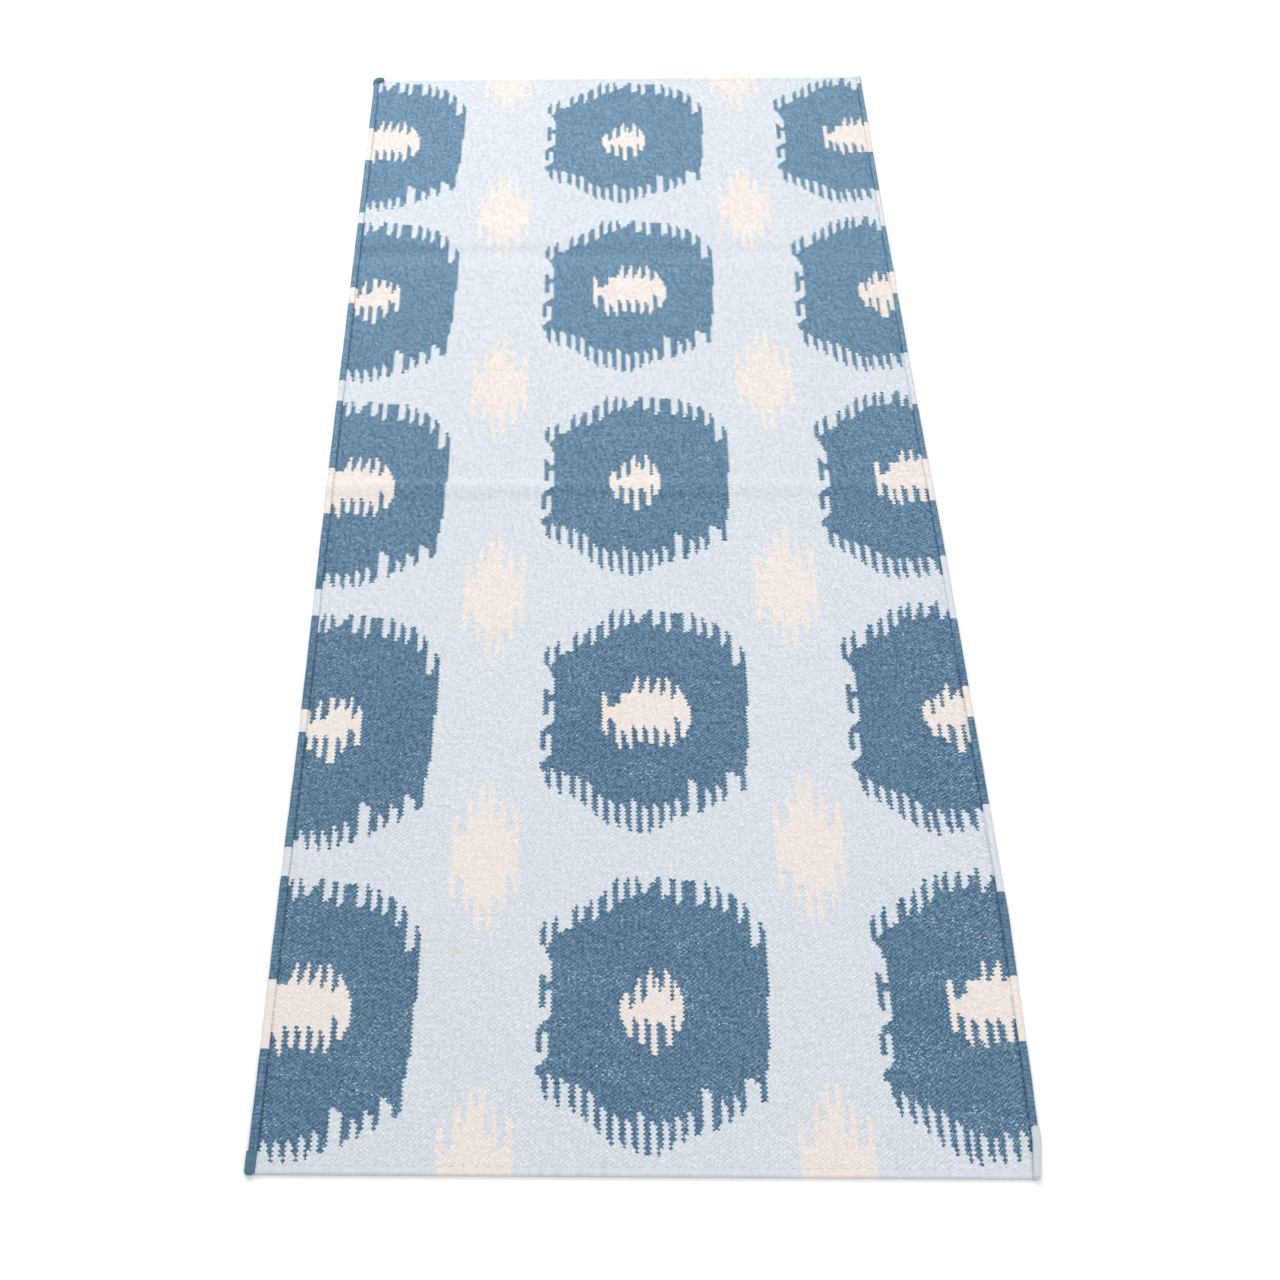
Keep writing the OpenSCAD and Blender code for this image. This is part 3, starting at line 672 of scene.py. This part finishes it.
# Besides its own colours, each dye holds a painted shade colour, a painted highlight colour and a painted
# sheen for the far end, with how strongly each is painted.
DYES = {
    1: dict(
        colour=SKY, other=(0.665, 0.690, 0.755), shade=SKY_SHADE, deep=(0.30, 0.36, 0.42),
        painted_highlight_colour=(0.84, 0.86, 0.88), fleck=(0.84, 0.85, 0.86), flecks=0.4,
        far_sheen_share=0, far_sheen_colour=SKY, valley=0.42, crown=0.75, roll=0.25, groove=0.50, sheen=0.15, spots=SKY_SPOTS,
    ),
    0: dict(
        colour=NAVY, other=(0.155, 0.240, 0.385), shade=NAVY_SHADE, deep=(0.018, 0.050, 0.100),
        painted_highlight_colour=(0.230, 0.365, 0.485), fleck=(0.60, 0.67, 0.70), flecks=1.0,
        far_sheen_share=0.19, far_sheen_colour=(0.34, 0.60, 0.80), valley=0.85, crown=0.85, roll=0.65,
        groove=0.85, sheen=0.30, spots=[],
    ),
    2: dict(
        colour=CREAM, other=(0.785, 0.725, 0.715), shade=CREAM_SHADE, deep=(0.46, 0.40, 0.35),
        painted_highlight_colour=(0.90, 0.87, 0.84), fleck=(0.90, 0.88, 0.84), flecks=0.4,
        far_sheen_share=0, far_sheen_colour=CREAM, valley=0.34, crown=0.70, roll=0.20, groove=0.60, sheen=0.10, spots=[],
    ),
}
WOOL_NAMES = {1: "light_blue_wool", 0: "dark_blue_wool", 2: "cream_wool"}
materials = {tone: wool(WOOL_NAMES[tone], dye) for tone, dye in DYES.items()}
cotton = plain_yarn("cotton_yarn", COTTON, COTTON_SHADE)
sky_yarn = plain_yarn("light_blue_yarn", SKY, SKY_SHADE)
navy_yarn = plain_yarn("dark_blue_yarn", NAVY, NAVY_SHADE)
thread_yarn = plain_yarn("hem_thread_yarn", SKY, SKY_SHADE)

# ---------------------------------------------------------------- woven pieces


def build_colour_areas():
    for value, node in enumerate(colour_nodes):
        parts = [woven_shell(value)] + roll_tubes(value)
        tone = int(tones[value])
        piece = new_piece(node + "_cloth", parts, materials[tone], [node])


build_colour_areas()

# ---------------------------------------------------------------- hems

def hem_shell(end):
    """The turned-under strip at one end, with its weave on the underside."""
    rows = np.array([1.9, 2.6, *np.arange(3.75, 17.6, 1.25), 17.6, 18.0]) * MM
    i, k = np.meshgrid(np.arange(FIELD_WARPS + 1), np.arange(len(rows)), indexing="ij")
    u = ROLL_W + i * WARP
    v = rows[k]
    checker = np.where((i + k) % 2 == 0, 1.0, -1.0)
    inner = np.minimum(v - rows[0], HEM_L - v)
    curve = rounding(inner, 0.8 * MM)
    low = 0.9 * MM - (0.9 * MM - 0.25 * MM + 0.8 * BEAD_H * checker) * curve
    top = 0.95 * MM + (HEM_T - 0.95 * MM) * curve
    real_v = v if end == "near" else RUG_L - v
    upper = on_rug(u, real_v, top).reshape(-1, 3)
    lower = on_rug(u, real_v, np.maximum(low, 0)).reshape(-1, 3)
    flat = np.stack([u, real_v, np.zeros(u.shape)], axis=-1).reshape(-1, 3)
    ci, cj = np.meshgrid(np.arange(FIELD_WARPS), np.arange(len(rows) - 1), indexing="ij")
    first = (ci * len(rows) + cj).ravel()
    quads = np.stack([first, first + len(rows), first + len(rows) + 1, first + 1], axis=1)
    if end == "far":
        quads = quads[:, ::-1]
    rim = boundary_edges(quads)
    count = len(upper)
    wall = np.stack([rim[:, 1], rim[:, 0], rim[:, 0] + count, rim[:, 1] + count], axis=1)
    faces = np.concatenate([quads, quads[:, ::-1] + count])
    return Part(np.concatenate([upper, lower]), faces, wall, (), np.tile(flat, (2, 1)))


def swept(path, radius, sides=6):
    """Round tube along a path of points."""
    path = np.asarray(path, float)
    ahead = np.gradient(path, axis=0)
    ahead /= np.linalg.norm(ahead, axis=1)[:, None]
    side = np.cross(ahead, [0.0, 1.0, 0.0])
    weak = np.linalg.norm(side, axis=1) < 0.2
    side[weak] = np.cross(ahead[weak], [1.0, 0.0, 0.0])
    side /= np.linalg.norm(side, axis=1)[:, None]
    other = np.cross(ahead, side)
    turn = 2 * math.pi * np.arange(sides) / sides
    radii = np.broadcast_to(radius, (len(path),))[:, None, None]
    ring = side[:, None, :] * np.cos(turn)[None, :, None] + other[:, None, :] * np.sin(turn)[None, :, None]
    return tube(path[:, None, :] + radii * ring)


STITCH_EVERY = 4
STITCH_OVER = 2


def stitch_path(end):
    """Running stitch over two warps and under two, along one end."""
    real_v = STITCH_Y if end == "near" else RUG_L - STITCH_Y
    high = CLOTH_T - 0.30 * MM
    low = 0.35 * MM
    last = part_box("hem_thread_" + end)[1].x - ground_low.x
    count = int(round((last - STITCH_X) / (STITCH_EVERY * WARP) + 0.5))
    points = []
    for n in range(count):
        a = STITCH_X + n * STITCH_EVERY * WARP
        b = a + STITCH_OVER * WARP
        rising = ((0, low), (0.1, 0.5 * (low + high)), (0.5, high - 0.1 * MM), (1.6, high + 0.12 * MM))
        points += [(a + du * MM, z) for du, z in rising]
        points += [(b - du * MM, z) for du, z in reversed(rising)]
    flat = np.array(points)
    return on_rug(flat[:, 0], np.full(len(flat), real_v), flat[:, 1])


def build_hems():
    for end in ("near", "far"):
        node = f"hem_strip_{end}"
        strip = new_piece(node + "_cloth", [hem_shell(end)], materials[1], [node])
        new_piece(
            f"hem_thread_{end}_yarn", [swept(stitch_path(end), 0.45 * THREAD)],
            thread_yarn, [f"hem_thread_{end}"],
        )


build_hems()

# ---------------------------------------------------------------- corner wraps

def winding(start, along, across, length, half_w, half_h, yarn, taper=(3, 1)):
    """Yarn wound round an oval, from start in the direction along; it closes in over its ends."""
    pitch = 0.9 * yarn
    turns = length / pitch
    steps = int(turns * 26)
    angle = 2 * math.pi * turns * np.arange(steps + 1) / steps
    went = angle / (2 * math.pi)
    share = np.ones(steps + 1)
    for distance, count in ((went, taper[0]), (turns - went, taper[1])):
        share = np.minimum(share, 0.2 + 0.8 * rounding(distance, count))
    wobble = 1 + 0.03 * np.sin(3.7 * went) + 0.02 * np.sin(9.1 * went)
    along, across = np.array(along, float), np.array(across, float)
    up = np.array([0.0, 0.0, 1.0])
    centre = np.array(start)[None, :] + (went * pitch)[:, None] * along[None, :]
    arm_x = ((half_w - yarn / 2) * share * wobble * np.cos(angle))[:, None] * across[None, :]
    arm_z = ((half_h - yarn / 2) * share * wobble * np.sin(angle))[:, None] * up[None, :]
    path = centre + arm_x + arm_z
    out = arm_x + arm_z
    out /= np.maximum(np.linalg.norm(out, axis=1), 1e-9)[:, None]
    turn = 2 * math.pi * np.arange(6) / 6
    ring = out[:, None, :] * np.cos(turn)[None, :, None] + along[None, None, :] * np.sin(turn)[None, :, None]
    points = path[:, None, :] + yarn / 2 * ring
    x, y = to_rug(points[:, :, 0] - ground_low.x, points[:, :, 1] - ground_low.y)
    return tube(np.stack([x, y, np.maximum(points[:, :, 2], 0)], axis=-1))


YARN = 1.5 * MM


def corner_parts(end, side):
    low, high = WRAPS[f"{end}_{side}"]
    edge = low.x if side == "left" else high.x
    inner = ground_low.x + ROLL_W if side == "left" else ground_high.x - SEEN_ROLL_W[side]
    half_w = abs(inner - edge) / 2
    centre = (inner + edge) / 2
    half_h = high.z / 2
    away = 1 if end == "near" else -1
    start_y = low.y if end == "near" else high.y
    length = high.y - low.y
    parts = [winding(
        (centre, start_y + away * YARN / 2, half_h), (0, away, 0), (1, 0, 0),
        length - YARN / 2, half_w, half_h, YARN,
    )]
    if (end, side) == ("far", "left"):
        knot_y = ground_high.y - 3.5 * MM
        parts.append(winding(
            (ground_low.x + 0.3 * ROLL_W, knot_y, CLOTH_T + 1.6 * MM), (1, 0, 0), (0, 1, 0),
            14 * MM, 5.5 * MM, 3.2 * MM, YARN, (3, 4),
        ))
    return parts


def build_corners():
    for end in ("near", "far"):
        for side in ("left", "right"):
            name = f"corner_wrap_{end}_{side}"
            yarn = navy_yarn if side == "left" else sky_yarn
            new_piece(name + "_yarn", corner_parts(end, side), yarn, [name])


build_corners()

# ---------------------------------------------------------------- hidden cotton

WARP_EVERY = 12
CORD_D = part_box("edge_cord_left")[1].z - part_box("edge_cord_left")[0].z


def cotton_tube(u, start, stop, z, radius):
    """Cotton yarn along the rug inside the cloth, following its bow and waves."""
    v = np.linspace(start, stop, 260)
    path = on_rug(np.full(len(v), u), v, np.full(len(v), z))
    turn = 2 * math.pi * np.arange(8) / 8
    ring = radius * np.stack([np.cos(turn), np.zeros(8), np.sin(turn)], axis=-1)
    return tube(path[:, None, :] + ring[None, :, :])


def build_cotton():
    low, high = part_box("warp_yarns")
    middle = (low.z + high.z) / 2
    ends = low.y - ground_low.y, high.y - ground_low.y
    warps = [
        cotton_tube((i + 0.5) * WARP, *ends, middle, (high.z - low.z) / 2)
        for i in range(ROLL_WARPS + 1, WARPS_ACROSS - ROLL_WARPS - 1, WARP_EVERY)
    ]
    new_piece("warp_yarns_cotton", warps, cotton, ["warp_yarns"])
    for side in ("left", "right"):
        low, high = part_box("edge_cord_" + side)
        cord = cotton_tube(
            (low.x + high.x) / 2 - ground_low.x, max(low.y - ground_low.y, 0.5 * MM), high.y - ground_low.y,
            (low.z + high.z) / 2, CORD_D / 2 - 0.3 * MM,
        )
        new_piece(f"edge_cord_{side}_cotton", [cord], cotton, ["edge_cord_" + side])


build_cotton()

# ---------------------------------------------------------------- floor and light

def make_floor():
    mesh = bpy.data.meshes.new("floor")
    half = 6
    corners = [(-half, -half, 0), (half, -half, 0), (half, half, 0), (-half, half, 0)]
    mesh.from_pydata(corners, [], [(0, 1, 2, 3)])
    material = bpy.data.materials.new("pale_floor")
    material.use_nodes = True
    shader = material.node_tree.nodes["Principled BSDF"]
    shader.inputs["Base Color"].default_value = (0.93, 0.93, 0.93, 1)
    shader.inputs["Roughness"].default_value = 0.8
    mesh.materials.append(material)
    floor = bpy.data.objects.new("floor", mesh)
    floor.location = (0, 0, -0.2 * MM)
    bpy.context.scene.collection.objects.link(floor)


def make_light(name, place, target, size, power):
    data = bpy.data.lights.new(name, "AREA")
    data.shape = "RECTANGLE"
    data.size, data.size_y = size
    data.energy = power
    light = bpy.data.objects.new(name, data)
    light.location = place
    light.rotation_euler = (Vector(target) - Vector(place)).to_track_quat("-Z", "Y").to_euler()
    bpy.context.scene.collection.objects.link(light)


make_floor()
make_light("key", (-0.8, 1.9, 2.4), (0, 0, 0), (2.4, 1.6), 70)
make_light("fill", (0.9, -1.6, 2.6), (0, 0, 0), (2.5, 2.0), 35)

world = bpy.data.worlds.new("studio")
world.use_nodes = True
world.node_tree.nodes["Background"].inputs[0].default_value = (1, 1, 1, 1)
world.node_tree.nodes["Background"].inputs[1].default_value = 0.55
bpy.context.scene.world = world
bpy.context.scene.view_settings.view_transform = "Standard"
